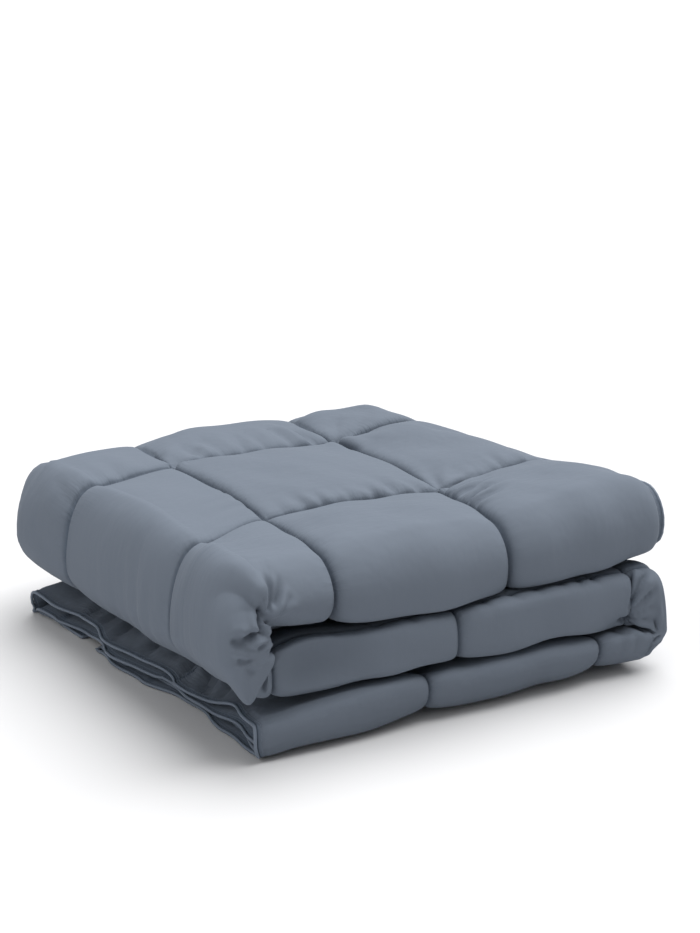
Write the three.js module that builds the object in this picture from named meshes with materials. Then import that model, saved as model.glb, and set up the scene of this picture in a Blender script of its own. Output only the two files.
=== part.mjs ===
// A box-quilted duvet of down alternative, folded as it comes off the shelf.
// The sheet is folded over and under itself in depth, and then in three across.
// Millimetres, +Z up. The folded front faces -Y and the big rolled fold faces -X.
// The origin is at the centre of the underside.
import * as THREE from "three";

// Driving dimensions
const BOX = 280; // one quilted box, seam to seam, measured across the front
const SEAM_THICKNESS = 3; // both covers and the squeezed fill, at a sewn line
const HEM_THICKNESS = 2.4;
const FILL_UNEVENNESS = 0.12; // how much less full the flattest box is
const PIPING_RADIUS = 2.3;
const PIPING_SIDES = 5;
const CLEARANCE = 0.3; // between the hem and its piping
const SECTION_GAP = 2; // between one folded section and the next

// The three sections of the last fold, from the floor up, at full loft
const BOTTOM_THICK = 61;
const MIDDLE_THICK = 68;
const TOP_THICK = 120;
const RIGHT_FOLD_REACH = 0.145 * BOX;
const LEFT_FOLD_REACH = 0.22 * BOX;
const FOLD_FULLNESS = { lower: 1.35, upper: 0.9 }; // above 1 a fold is drawn in, below it is full
const FOLD_HOLLOW = 5; // radius left open inside each fold
const HOLLOW_LENGTH = 60; // over which that hollow closes up

// The stack from its open end on the floor to its open end on top. x is in boxes from the open end.
// loft is the share of the section's thickness that it keeps there, crown the share of it by which
// the outer boxes stand above their seams, drift how far a point goes to +X for each millimetre
// back, front where the folded front stands, back, in boxes, where the back loop turns, and slip,
// in boxes, how far the rows of boxes are drawn towards the front.
const FORM = [
  { section: "bottom", x: 0, loft: 0.75, crown: 0.17, drift: -0.07, front: -18, back: 2.1, slip: 0 },
  { section: "bottom", x: 0.4, loft: 1, crown: 0.17, drift: -0.07, front: -24, back: 2.1, slip: 0 },
  { section: "bottom", x: 2.15, loft: 1, crown: 0.17, drift: -0.05, front: -38, back: 2.05, slip: 0 },
  { section: "middle", x: 2.15, loft: 1, crown: 0.17, drift: -0.05, front: -34, back: 2.05, slip: 0 },
  { section: "middle", x: 0.04, loft: 1, crown: 0.17, drift: 0, front: -14, back: 2.17, slip: 0.38 },
  { section: "top", x: 0.04, loft: 0.97, crown: 0.22, drift: 0, front: -16, back: 2.17, slip: 0.38 },
  { section: "top", x: 0.42, loft: 1, crown: 0.25, drift: 0.06, front: -16, back: 2.25, slip: 0.2 },
  { section: "top", x: 1.37, loft: 0.96, crown: 0.27, drift: 0.06, front: -16, back: 2.25, slip: 0.25 },
  { section: "top", x: 2.29, loft: 1.08, crown: 0.2, drift: -0.06, front: -16, back: 2.05, slip: 0.1 },
];

// The stack is lower at the back, where fewer plies lie: by x, the share of the height lost there
// and how far back, in boxes, the fall starts
const BACK_SAG = [
  { x: 0.1, lost: 0.08, start: 0.6 },
  { x: 0.5, lost: 0.08, start: 0.6 },
  { x: 1.4, lost: 0.1, start: 0.6 },
  { x: 1.9, lost: 0.1, start: 0.6 },
  { x: 2.3, lost: 0.2, start: -0.3 },
];
const BACK_SAG_END = 2.4; // boxes back
const SLIP_REACH = [0.08, 0.4, 0.6, 1]; // shares of the depth where the slip starts, is full and ends

// Sewn lines that run from front to back, by section and x in boxes; hems at both ends
const LINES_ACROSS = [
  ["bottom", 0],
  ["bottom", 0.89],
  ["bottom", 1.85],
  ["middle", 2.04],
  ["middle", 1.06],
  ["middle", 0.1],
  ["top", 0.42],
  ["top", 1.37],
  ["top", 2.29],
];

// The runs of the first fold, in the order in which the sheet passes through them, from place to
// place. The rest are shares of the section's thickness, at the front and at the back: level is
// where the sewn lines lie, face and back how far the fill rises on the two faces of the sheet.
const RUNS = [
  { from: "back", to: "front", level: [0.82, 0.84], face: [0.17, 0.15], back: [0.06, 0.15] },
  { from: "front", to: "tuck", level: [0.17, 0.17], face: [0.3, 0.3], back: [0.07, 0.07] },
  { from: "tuck", to: "front", level: [0.375, 0.375], face: [0.115, 0.115], back: [0.105, 0.105] },
  { from: "front", to: "back", level: [0.625, 0.5], face: [0.115, 0.15], back: [0.115, 0.15] },
  { from: "back", to: "tail", level: [0.17, 0.17], face: [0.15, 0.15], back: [0.17, 0.17] },
];
const TOP_PLY = RUNS[0]; // the one whose face is the outside of the stack, crowned as FORM says
const BACK_CHANGE = [1.5, 1.9]; // where four plies become three, in boxes from the front
const FRONT_ROUND = 1; // how far the front bulges, in half thicknesses
const LIP_ANGLE = THREE.MathUtils.degToRad(-20); // where the top ply's back hem hangs
const NOMINAL_THICK = 84; // section thickness at which the sheet's length is measured
const TUCK_Y = 1.5 * BOX; // where the underside turns back
const TAIL_Y = 1.72 * BOX; // where the last hem lies inside
const NOMINAL_BACK_Y = 2.02 * BOX;

// Sewn lines that run across, as the distance of each from the first hem, in boxes
const LINES_ALONG = [0, 0.62, 1.46, 2.46, 3.4, 4.35, 5.28, 6.2, 7.1];

// Where the plies lie when their open hems are pressed down at the bottom section's edge:
// share of the thickness in full loft, and height in millimetres at the hem
const PRESSED_EDGE = [
  [0, 0],
  [0.17, 2.8],
  [0.375, 8.7],
  [0.625, 15.5],
  [0.82, 38],
  [1, 44],
];
const EDGE_PRESS_LENGTH = 0.22 * BOX;

const FRACTIONS_IN_BOX = [0.12, 0.36, 0.64, 0.88];
const FOLD_STEPS = 6;
const SHORTEST_STEP = 16;

const CLOTH_COLOUR = "#7c8794";
const quiltMaterial = new THREE.MeshStandardMaterial({ color: CLOTH_COLOUR, roughness: 0.62 });
const pipingMaterial = new THREE.MeshStandardMaterial({ color: CLOTH_COLOUR, roughness: 0.6 });

const { lerp, smoothstep, clamp } = THREE.MathUtils;

// Straight stretches and half turns across the width, with their lengths at mid-thickness
const endX = (section, last) => FORM.filter((row) => row.section === section).at(last ? -1 : 0).x * BOX;
const rightFoldX = endX("bottom", true);
const leftFoldX = endX("top", false);
const topEndX = endX("top", true);
const lowerPivotZ = BOTTOM_THICK + SECTION_GAP / 2;
const upperPivotZ = lowerPivotZ + MIDDLE_THICK + SECTION_GAP;

const acrossPieces = [
  { section: "bottom", fromX: 0, toX: rightFoldX, length: rightFoldX },
  { fold: "right", length: (Math.PI * (BOTTOM_THICK + MIDDLE_THICK)) / 4 },
  { section: "middle", fromX: rightFoldX, toX: leftFoldX, length: rightFoldX - leftFoldX },
  { fold: "left", length: (Math.PI * (MIDDLE_THICK + TOP_THICK)) / 4 },
  { section: "top", fromX: leftFoldX, toX: topEndX, length: topEndX - leftFoldX },
];

// Straight runs and half turns along the length, in order, with their lengths at NOMINAL_THICK
const loopLevel = (RUNS[3].level[1] + RUNS[4].level[1]) / 2;
const lipShare = TOP_PLY.level[1] - loopLevel;

function placeY(place, thick, front, backY) {
  return { front: 0.5 * thick * FRONT_ROUND + front, back: backY, tuck: TUCK_Y, tail: TAIL_Y }[place];
}

function alongPieces() {
  const pieces = [{ kind: "lip", length: (Math.PI / 2 - LIP_ANGLE) * lipShare * NOMINAL_THICK }];
  RUNS.forEach((run, index) => {
    const start = placeY(run.from, NOMINAL_THICK, 0, NOMINAL_BACK_Y);
    const end = placeY(run.to, NOMINAL_THICK, 0, NOMINAL_BACK_Y);
    pieces.push({ kind: "run", run, length: Math.abs(end - start) });
    const next = RUNS[index + 1];
    if (next === undefined) return;
    const end01 = run.to === "front" || run.to === "tuck" ? 0 : 1;
    const half = Math.abs(run.level[end01] - next.level[end01]) / 2;
    pieces.push({ kind: "turn", run, next, half, length: Math.PI * half * NOMINAL_THICK });
  });
  return pieces;
}

const along = alongPieces();
const totalLength = (pieces) => pieces.reduce((sum, piece) => sum + piece.length, 0);
const acrossLength = totalLength(acrossPieces);
const alongLength = totalLength(along);

function locate(pieces, distance) {
  let rest = clamp(distance, 0, totalLength(pieces));
  for (const piece of pieces) {
    if (rest <= piece.length || piece === pieces.at(-1)) return { piece, t: rest / piece.length };
    rest -= piece.length;
  }
}

// How far along the folded width a given x of a section lies
function acrossDistance(section, x) {
  let start = 0;
  for (const piece of acrossPieces) {
    if (piece.section === section) return start + Math.abs(x * BOX - piece.fromX);
    start += piece.length;
  }
}

const acrossSeams = LINES_ACROSS.map(([section, x]) => acrossDistance(section, x));
const alongSeams = [...LINES_ALONG.map((line) => line * BOX), alongLength];

// Share of the full loft in a box: steep beside the sewn lines, flat in the middle, and a little
// fuller in some boxes than in others, as the fill is
function boxPlace(seams, distance) {
  const index = clamp(seams.findLastIndex((seam) => seam <= distance), 0, seams.length - 2);
  return { index, t: (distance - seams[index]) / (seams[index + 1] - seams[index]) };
}

const rounded = (t) => Math.sqrt(clamp(4 * t * (1 - t), 0, 1));

function loftAt(across, alongDistance) {
  const column = boxPlace(acrossSeams, across);
  const row = boxPlace(alongSeams, alongDistance);
  const fill = 1 - FILL_UNEVENNESS * (0.5 + 0.5 * Math.sin(2.3 * column.index + 3.9 * row.index));
  return rounded(column.t) * rounded(row.t) * fill;
}

// Stations for the mesh: every sewn line, every step of a turn, and points inside each box
function stations(pieces, seams) {
  const chosen = [...seams];
  const addIfClear = (distance) => {
    if (chosen.every((other) => Math.abs(other - distance) > SHORTEST_STEP)) chosen.push(distance);
  };
  let start = 0;
  for (const piece of pieces) {
    const turning = piece.fold !== undefined || piece.kind === "turn" || piece.kind === "lip";
    const steps = turning ? Math.min(FOLD_STEPS, Math.ceil(piece.length / SHORTEST_STEP)) : 1;
    for (let step = 0; step <= steps; step += 1) addIfClear(start + (piece.length * step) / steps);
    start += piece.length;
  }
  for (let index = 0; index + 1 < seams.length; index += 1) {
    for (const part of FRACTIONS_IN_BOX) addIfClear(lerp(seams[index], seams[index + 1], part));
  }
  return chosen.sort((a, b) => a - b);
}

// The columns of FORM at a distance across, eased from row to row
const formDistances = FORM.map((row) => acrossDistance(row.section, row.x));

function formAt(distance) {
  const index = clamp(formDistances.findLastIndex((at) => at <= distance), 0, FORM.length - 2);
  const t = smoothstep(distance, formDistances[index], formDistances[index + 1]);
  const [from, to] = [FORM[index], FORM[index + 1]];
  const column = (name) => lerp(from[name], to[name], t);
  return {
    loft: column("loft"),
    crown: column("crown"),
    drift: column("drift"),
    front: column("front"),
    backY: column("back") * BOX,
    slip: column("slip") * BOX,
  };
}

// Across the width: the two faces of the folded stack
function hollowNear(x, foldX) {
  return lerp(FOLD_HOLLOW, SECTION_GAP / 2, smoothstep(Math.abs(x - foldX), 0, HOLLOW_LENGTH));
}

function straightFaces(section, x, loft) {
  if (section === "bottom") {
    const over = (lowerPivotZ - hollowNear(x, rightFoldX)) * loft;
    return { under: [x, 0], over: [x, over], press: 1 - smoothstep(x, 0, EDGE_PRESS_LENGTH) };
  }
  if (section === "middle") {
    const under = upperPivotZ - hollowNear(x, leftFoldX);
    return { under: [x, under], over: [x, lowerPivotZ + hollowNear(x, rightFoldX)], press: 0 };
  }
  const under = upperPivotZ + hollowNear(x, leftFoldX);
  return { under: [x, under], over: [x, upperPivotZ + SECTION_GAP / 2 + TOP_THICK * loft], press: 0 };
}

function foldFaces(fold, t) {
  const angle = t * Math.PI;
  const right = fold === "right";
  const side = right ? 1 : -1;
  const x = right ? rightFoldX : leftFoldX;
  const z = right ? lowerPivotZ : upperPivotZ;
  const [below, above] = right ? [BOTTOM_THICK, MIDDLE_THICK] : [MIDDLE_THICK, TOP_THICK];
  const reach = right ? RIGHT_FOLD_REACH : LEFT_FOLD_REACH;
  const lower = angle < Math.PI / 2;
  const height = (lower ? below : above) + SECTION_GAP / 2;
  const fullness = lower ? FOLD_FULLNESS.lower : FOLD_FULLNESS.upper;
  const bulge = Math.pow(Math.max(Math.sin(angle), 0), fullness);
  const outer = [x + side * reach * bulge, z - height * Math.cos(angle)];
  const inner = [x + side * FOLD_HOLLOW * Math.sin(angle), z - FOLD_HOLLOW * Math.cos(angle)];
  return right ? { under: outer, over: inner, press: 0 } : { under: inner, over: outer, press: 0 };
}

function acrossFrame(distance) {
  const { piece, t } = locate(acrossPieces, distance);
  const form = formAt(distance);
  const faces = piece.section
    ? straightFaces(piece.section, lerp(piece.fromX, piece.toX, t), form.loft)
    : foldFaces(piece.fold, t);
  return { ...faces, ...form };
}

// Along the length: the sewn middle of the sheet in the stack, as distance back and height
function middleLine(distance, thick, form) {
  const { piece, t } = locate(along, distance);
  if (piece.kind === "lip") {
    const angle = lerp(LIP_ANGLE, Math.PI / 2, t);
    const radius = lipShare * thick;
    return {
      y: form.backY + radius * Math.cos(angle),
      h: loopLevel * thick + radius * Math.sin(angle),
      face: TOP_PLY.face[1],
      back: TOP_PLY.back[1],
    };
  }
  const { run, next, half } = piece;
  const end = placeY(run.to, thick, form.front, form.backY);
  const frontFace = (given) => (given === TOP_PLY ? form.crown : given.face[0]);
  if (piece.kind === "run") {
    const start = placeY(run.from, thick, form.front, form.backY);
    const y = lerp(start, end, t);
    const change = smoothstep(y, BACK_CHANGE[0] * BOX, BACK_CHANGE[1] * BOX);
    return {
      y,
      h: lerp(run.level[0], run.level[1], change) * thick,
      face: lerp(frontFace(run), Math.max(frontFace(run), run.face[1]), change),
      back: lerp(run.back[0], run.back[1], change),
    };
  }
  const angle = t * Math.PI;
  const which = run.to === "back" ? 1 : 0;
  const centre = (run.level[which] + next.level[which]) / 2;
  const swing = (run.level[which] - next.level[which]) / 2;
  const bulge = run.to === "front" ? -FRONT_ROUND : 1;
  return {
    y: end + bulge * half * thick * Math.sin(angle),
    h: (centre + swing * Math.cos(angle)) * thick,
    face: which === 0 ? lerp(frontFace(run), next.face[0], t) : lerp(run.face[1], next.face[1], t),
    back: lerp(run.back[which], next.back[which], t),
  };
}

function pressedHeight(share) {
  const below = PRESSED_EDGE.findLastIndex(([level]) => level <= share);
  const index = clamp(below, 0, PRESSED_EDGE.length - 2);
  const [fromLevel, fromHeight] = PRESSED_EDGE[index];
  const [toLevel, toHeight] = PRESSED_EDGE[index + 1];
  return fromHeight + ((share - fromLevel) * (toHeight - fromHeight)) / (toLevel - fromLevel);
}

// The rows of boxes slip towards the front where the stack is rolled over
function slipped(y, form) {
  const depth = y / form.backY;
  const [start, full, last, end] = SLIP_REACH;
  return y - form.slip * (smoothstep(depth, start, full) - smoothstep(depth, last, end));
}

function sagAt(x, y) {
  const before = BACK_SAG.findLastIndex((row) => row.x * BOX <= x);
  const index = clamp(before, 0, BACK_SAG.length - 2);
  const [from, to] = [BACK_SAG[index], BACK_SAG[index + 1]];
  const t = smoothstep(x / BOX, from.x, to.x);
  return lerp(from.lost, to.lost, t) * smoothstep(y / BOX, lerp(from.start, to.start, t), BACK_SAG_END);
}

// One point of the duvet. side is 1 on the face that shows outside, -1 on the other, 0 midway.
function foldedPoint(across, alongDistance, side, thickness) {
  const frame = acrossFrame(across);
  const rise = [frame.over[0] - frame.under[0], frame.over[1] - frame.under[1]];
  const thick = Math.hypot(...rise);
  const here = middleLine(alongDistance, thick, frame);
  const step = 0.5;
  const ahead = middleLine(alongDistance + step, thick, frame);
  const behind = middleLine(alongDistance - step, thick, frame);
  const [dy, dh] = [ahead.y - behind.y, ahead.h - behind.h];
  const speed = Math.hypot(dy, dh);
  const loft = loftAt(across, alongDistance);
  const full = (side > 0 ? here.face : here.back) * thick;
  const offset = side * lerp(thickness / 2, full, loft);
  const y = slipped(here.y + (dh / speed) * offset, frame);
  const share = Math.max(here.h - (dy / speed) * offset, 0) / thick; // pressed flat below
  const placed = lerp(share, pressedHeight(share) / thick, frame.press);
  const x = frame.under[0] + rise[0] * placed;
  const z = (frame.under[1] + rise[1] * placed) * (1 - sagAt(x, y));
  return new THREE.Vector3(x + frame.drift * y, y, Math.max(z, 0));
}

const acrossStations = stations(acrossPieces, acrossSeams);
const alongStations = stations(along, alongSeams);

function closedGeometry(points, triangles) {
  const geometry = new THREE.BufferGeometry();
  const numbers = points.flatMap((point) => point.toArray());
  geometry.setAttribute("position", new THREE.Float32BufferAttribute(numbers, 3));
  geometry.setIndex(triangles);
  geometry.computeVertexNormals();
  return geometry;
}

// The filled body: an outer and an inner face over the same stations, joined round the hem
function quiltGeometry() {
  const rows = acrossStations.length;
  const columns = alongStations.length;
  const points = [];
  for (const side of [1, -1]) {
    acrossStations.forEach((u, i) => {
      alongStations.forEach((v, j) => {
        const atHem = i === 0 || j === 0 || i === rows - 1 || j === columns - 1;
        points.push(foldedPoint(u, v, side, atHem ? HEM_THICKNESS : SEAM_THICKNESS));
      });
    });
  }
  const face = (i, j) => i * columns + j;
  const back = (i, j) => rows * columns + face(i, j);
  const triangles = [];
  const quad = (a, b, c, d) => triangles.push(a, b, c, a, c, d);
  for (let i = 0; i + 1 < rows; i += 1) {
    for (let j = 0; j + 1 < columns; j += 1) {
      quad(face(i, j), face(i, j + 1), face(i + 1, j + 1), face(i + 1, j));
      quad(back(i, j), back(i + 1, j), back(i + 1, j + 1), back(i, j + 1));
    }
    quad(face(i, 0), face(i + 1, 0), back(i + 1, 0), back(i, 0));
    quad(face(i, columns - 1), back(i, columns - 1), back(i + 1, columns - 1), face(i + 1, columns - 1));
  }
  for (let j = 0; j + 1 < columns; j += 1) {
    quad(face(0, j), back(0, j), back(0, j + 1), face(0, j + 1));
    quad(face(rows - 1, j), face(rows - 1, j + 1), back(rows - 1, j + 1), back(rows - 1, j));
  }
  return closedGeometry(points, triangles);
}

// The piping: a cord all the way round, just off the hem
function hemStations() {
  const lastAcross = acrossStations.at(-1);
  const lastAlong = alongStations.at(-1);
  const sides = [
    { stops: alongStations, place: (v) => [0, v], inward: [1, 0] },
    { stops: acrossStations, place: (u) => [u, lastAlong], inward: [0, -1] },
    { stops: alongStations.toReversed(), place: (v) => [lastAcross, v], inward: [-1, 0] },
    { stops: acrossStations.toReversed(), place: (u) => [u, 0], inward: [0, 1] },
  ];
  return sides.flatMap(({ stops, place, inward }, index) => {
    const next = sides[(index + 1) % sides.length].inward;
    const list = stops.map((stop) => ({ at: place(stop), inward }));
    return [...list, { at: place(stops.at(-1)), inward: [inward[0] + next[0], inward[1] + next[1]] }];
  });
}

function pipingGeometry() {
  const reach = PIPING_RADIUS * Math.cos(Math.PI / PIPING_SIDES) + CLEARANCE;
  const probe = 4;
  const rings = hemStations().map(({ at: [u, v], inward }) => {
    const hem = foldedPoint(u, v, 0, 0);
    const inside = foldedPoint(u + inward[0] * probe, v + inward[1] * probe, 0, 0);
    const up = foldedPoint(u, v, 1, HEM_THICKNESS).sub(foldedPoint(u, v, -1, HEM_THICKNESS)).normalize();
    const out = hem.clone().sub(inside);
    out.addScaledVector(up, -out.dot(up)).normalize();
    const centre = hem.clone().addScaledVector(out, reach);
    return Array.from({ length: PIPING_SIDES }, (_, side) => {
      const angle = (2 * Math.PI * side) / PIPING_SIDES;
      const point = centre.clone().addScaledVector(out, PIPING_RADIUS * Math.cos(angle));
      point.addScaledVector(up, PIPING_RADIUS * Math.sin(angle));
      point.z = Math.max(point.z, CLEARANCE);
      return point;
    });
  });
  const triangles = [];
  rings.forEach((_, ring) => {
    const after = (ring + 1) % rings.length;
    for (let side = 0; side < PIPING_SIDES; side += 1) {
      const next = (side + 1) % PIPING_SIDES;
      const [a, b] = [ring * PIPING_SIDES + side, ring * PIPING_SIDES + next];
      const [c, d] = [after * PIPING_SIDES + side, after * PIPING_SIDES + next];
      triangles.push(a, c, b, b, c, d);
    }
  });
  return closedGeometry(rings.flat(), triangles);
}

const duvet = new THREE.Group();
const quilt = new THREE.Mesh(quiltGeometry(), quiltMaterial);
quilt.name = "quilt";
const piping = new THREE.Mesh(pipingGeometry(), pipingMaterial);
piping.name = "piping";
duvet.add(quilt, piping);

const centre = new THREE.Box3().setFromObject(duvet).getCenter(new THREE.Vector3());
duvet.position.set(-centre.x, -centre.y, 0);

export default duvet;
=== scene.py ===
# %% [markdown]
# # A folded duvet, quilted in boxes
# The duvet is one soft sheet: two covers with fill between them, sewn through in boxes.
# It could be built as a pile of cushions, but then no ply would run on into the next one.
# So the whole sheet is laid out flat, folded twice by one function, and relaxed as cloth.
# Metres, +Z up. The folded front faces -Y and the big rolled fold faces -X.
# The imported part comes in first: its plain duvet is what the visible one replaces.

import math

import bpy
import numpy as np
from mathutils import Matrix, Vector


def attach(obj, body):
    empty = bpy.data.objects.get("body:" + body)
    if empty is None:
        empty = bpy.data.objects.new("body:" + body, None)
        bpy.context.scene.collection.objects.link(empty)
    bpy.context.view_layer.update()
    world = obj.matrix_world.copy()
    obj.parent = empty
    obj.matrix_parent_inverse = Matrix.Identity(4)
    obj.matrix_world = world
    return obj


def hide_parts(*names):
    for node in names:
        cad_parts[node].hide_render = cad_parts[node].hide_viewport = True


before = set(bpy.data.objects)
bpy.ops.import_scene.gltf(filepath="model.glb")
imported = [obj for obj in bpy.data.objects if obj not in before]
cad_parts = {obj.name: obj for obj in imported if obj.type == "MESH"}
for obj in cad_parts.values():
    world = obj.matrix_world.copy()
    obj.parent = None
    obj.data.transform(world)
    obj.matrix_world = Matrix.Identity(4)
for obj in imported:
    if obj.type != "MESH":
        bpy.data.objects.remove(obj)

# %% [markdown]
# ## Camera
# A product picture is taken from some way off with a long lens, which keeps the edges of a
# stack nearly parallel. This one looks down a little at the front left corner. Its place and
# turn could be set by eye, but here they were fitted until the corners of the stack agreed.

# %% Camera
bpy.ops.object.camera_add(
    location=(-1.5007, -2.5218, 1.1872),
    rotation=(math.radians(72.2), 0, math.radians(-31.5)),
)
camera = bpy.context.object
camera.name = "photo_camera"
camera.data.sensor_width = 36
camera.data.lens = 84.9
camera.data.clip_end = 60
bpy.context.scene.camera = camera
print("camera at", tuple(round(c, 3) for c in camera.location))

# %% [markdown]
# ## Sizes
# The same sizes as the CAD part, in metres. One box, from seam to seam, is the measure of the
# rest, and places on the sheet are counted in boxes.
# Tables with named columns are used, so that a row can be read and changed like a cutting list.

# %% Sizes of the stack
BOX = 0.28
SEAM_THICKNESS = 0.003
HEM_THICKNESS = 0.0024
FILL_UNEVENNESS = 0.12
PIPING_RADIUS = 0.0023
SECTION_GAP = 0.002
BOTTOM_THICK = 0.061
MIDDLE_THICK = 0.068
TOP_THICK = 0.120
RIGHT_FOLD_REACH = 0.145 * BOX
LEFT_FOLD_REACH = 0.22 * BOX
FOLD_FULLNESS = (1.35, 0.9)
FOLD_HOLLOW = 0.005
HOLLOW_LENGTH = 0.060
# The middle of the underside, in the room that the fold is worked out in
CENTRE = np.array([0.29675, 0.33219, 0.0])
print("sections", BOTTOM_THICK, MIDDLE_THICK, TOP_THICK, "m thick")

# %% Form of the stack
# From its open end on the floor to its open end on top. x and back are in boxes from the left and
# from the front, and front is in metres. loft is a share of the section's thickness, crown a share
# of it above the top ply, and drift moves the ply sideways. slip is how many boxes the cloth has
# slipped to the front, and the two squares are how square the front turns are, above and below.
FORM_COLUMNS = (
    "section", "x", "loft", "crown", "drift", "front", "back", "slip", "square", "square_under",
)
FORM = (
    ("bottom", 0.00, 0.75, 0.17, -0.07, -0.018, 2.10, 0.00, 2.3, 2.3),
    ("bottom", 0.40, 1.00, 0.17, -0.07, -0.024, 2.10, 0.00, 5.0, 2.8),
    ("bottom", 2.15, 1.00, 0.17, -0.05, -0.038, 2.05, 0.00, 4.0, 2.6),
    ("middle", 2.15, 1.00, 0.17, -0.05, -0.034, 2.05, 0.00, 3.2, 4.5),
    ("middle", 0.04, 1.00, 0.17, 0.00, -0.014, 2.17, 0.38, 3.2, 4.5),
    ("top", 0.04, 0.97, 0.22, 0.00, -0.016, 2.17, 0.38, 1.75, 2.4),
    ("top", 0.42, 1.00, 0.25, 0.06, -0.016, 2.25, 0.24, 1.70, 3.0),
    ("top", 1.37, 0.96, 0.27, 0.06, -0.016, 2.25, 0.30, 1.70, 3.2),
    ("top", 2.29, 1.08, 0.20, -0.06, -0.016, 2.05, 0.12, 1.80, 2.6),
)
# Where the slip starts and is whole, and where it starts to end and has ended, by depth
SLIP_REACH = (0.03, 0.5, 0.6, 1.0)
# The stack sinks towards its back: share of the height lost at x, and where that starts, in boxes
BACK_SAG_COLUMNS = ("x", "lost", "start")
BACK_SAG = (
    (0.1, 0.08, 0.6),
    (0.5, 0.08, 0.6),
    (1.4, 0.10, 0.6),
    (1.9, 0.10, 0.6),
    (2.3, 0.20, -0.3),
)
BACK_SAG_END = 2.4
print("form given at", len(FORM), "places across")

# %% Sewn lines
HEM_FLANGE = 0.009
# The visible duvet is a little fuller beside its seams than the CAD part, which has 0.5 here
SEAM_ROUNDING = 0.40
SEAM_SINK = 0.035
WRAP_SINK = 0.0055
SINK_REACH = 0.011
SEAM_PULL = 0.55
SEAM_REACH = 0.022
# In boxes along the sheet: where it starts to go round the front and has, and the same behind
FRONT_WRAP = (1.95, 2.2, 2.45, 2.65)
# Sewn lines in boxes: those met on the way across, and those met on the way along
LINES_ACROSS = (
    ("bottom", 0), ("bottom", 0.89), ("bottom", 1.85),
    ("middle", 2.04), ("middle", 1.06), ("middle", 0.1),
    ("top", 0.42), ("top", 1.37), ("top", 2.29),
)
LINES_ALONG = (0, 0.62, 1.46, 2.46, 3.4, 4.35, 5.28, 6.2, 7.1)
print("boxes", len(LINES_ACROSS) - 1, "by", len(LINES_ALONG))

# %% Runs of the first fold
# From, to, and shares of the stack's thickness at the front and at the back: the height of the
# sewn middle of the ply, and the room on its two sides
RUN_COLUMNS = ("from", "to", "level", "face", "back")
RUNS = (
    ("back", "front", (0.82, 0.84), (0.17, 0.15), (0.06, 0.15)),
    ("front", "tuck", (0.17, 0.17), (0.30, 0.30), (0.07, 0.07)),
    ("tuck", "front", (0.375, 0.375), (0.115, 0.115), (0.105, 0.105)),
    ("front", "back", (0.625, 0.5), (0.115, 0.15), (0.115, 0.15)),
    ("back", "tail", (0.17, 0.17), (0.15, 0.15), (0.17, 0.17)),
)
BACK_CHANGE = (1.5 * BOX, 1.9 * BOX)
LIP_ANGLE = math.radians(-20)
NOMINAL_THICK = 0.084
TUCK_Y = 1.5 * BOX
TAIL_Y = 1.72 * BOX
NOMINAL_BACK_Y = 2.02 * BOX

# Where the plies lie when their open hems are pressed down at the bottom section's edge
PRESSED_SHARE = (0, 0.17, 0.375, 0.625, 0.82, 1)
PRESSED_HEIGHT = (0, 0.0028, 0.0087, 0.0200, 0.040, 0.046)
EDGE_PRESS_LENGTH = 0.22 * BOX
print("plies in each section", len(RUNS), "with", ", ".join(RUN_COLUMNS))

# %% [markdown]
# ## The fold
# `fold` takes places on the flat duvet and says where they lie once it is folded.
# Across the width it follows five pieces: bottom, right fold, middle, left fold and top.
# Along the length it follows five runs with half turns between them.
# Cloth could be dropped and folded by simulation, but so many plies would slip and cross.
# A function of the place on the sheet keeps every ply whole and its sewn lines in place.

# %% Helpers for the fold
def lerp(a, b, t):
    return a + (b - a) * t


def smoothstep(value, low, high):
    t = np.clip((value - low) / (high - low), 0, 1)
    return t * t * (3 - 2 * t)


def column(table, names, name):
    return np.array([row[names.index(name)] for row in table])


def end_x(section, last):
    rows = [row for row in FORM if row[0] == section]
    return rows[-1 if last else 0][1] * BOX


RIGHT_X = end_x("bottom", True)
LEFT_X = end_x("top", False)
TOP_END_X = end_x("top", True)
LOWER_PIVOT = BOTTOM_THICK + SECTION_GAP / 2
UPPER_PIVOT = LOWER_PIVOT + MIDDLE_THICK + SECTION_GAP

ACROSS = (
    ("bottom", RIGHT_X),
    ("right fold", math.pi * (BOTTOM_THICK + MIDDLE_THICK) / 4),
    ("middle", RIGHT_X - LEFT_X),
    ("left fold", math.pi * (MIDDLE_THICK + TOP_THICK) / 4),
    ("top", TOP_END_X - LEFT_X),
)
ACROSS_ENDS = np.cumsum([length for _, length in ACROSS])
ACROSS_STARTS = ACROSS_ENDS - [length for _, length in ACROSS]
SECTION_FROM = {"bottom": 0.0, "middle": RIGHT_X, "top": LEFT_X}
print("pieces across", [(name, round(length, 3)) for name, length in ACROSS])


# %% Distances on the flat sheet
def across_distance(section, x):
    """How far across the flat sheet a place in a section lies."""
    start = ACROSS_STARTS[[name for name, _ in ACROSS].index(section)]
    return start + abs(x * BOX - SECTION_FROM[section])


LOOP_LEVEL = (RUNS[3][2][1] + RUNS[4][2][1]) / 2
LIP_SHARE = RUNS[0][2][1] - LOOP_LEVEL


def place_y(place, thick, front, back):
    return {"front": 0.5 * thick + front, "back": back, "tuck": TUCK_Y, "tail": TAIL_Y}[place]


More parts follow.
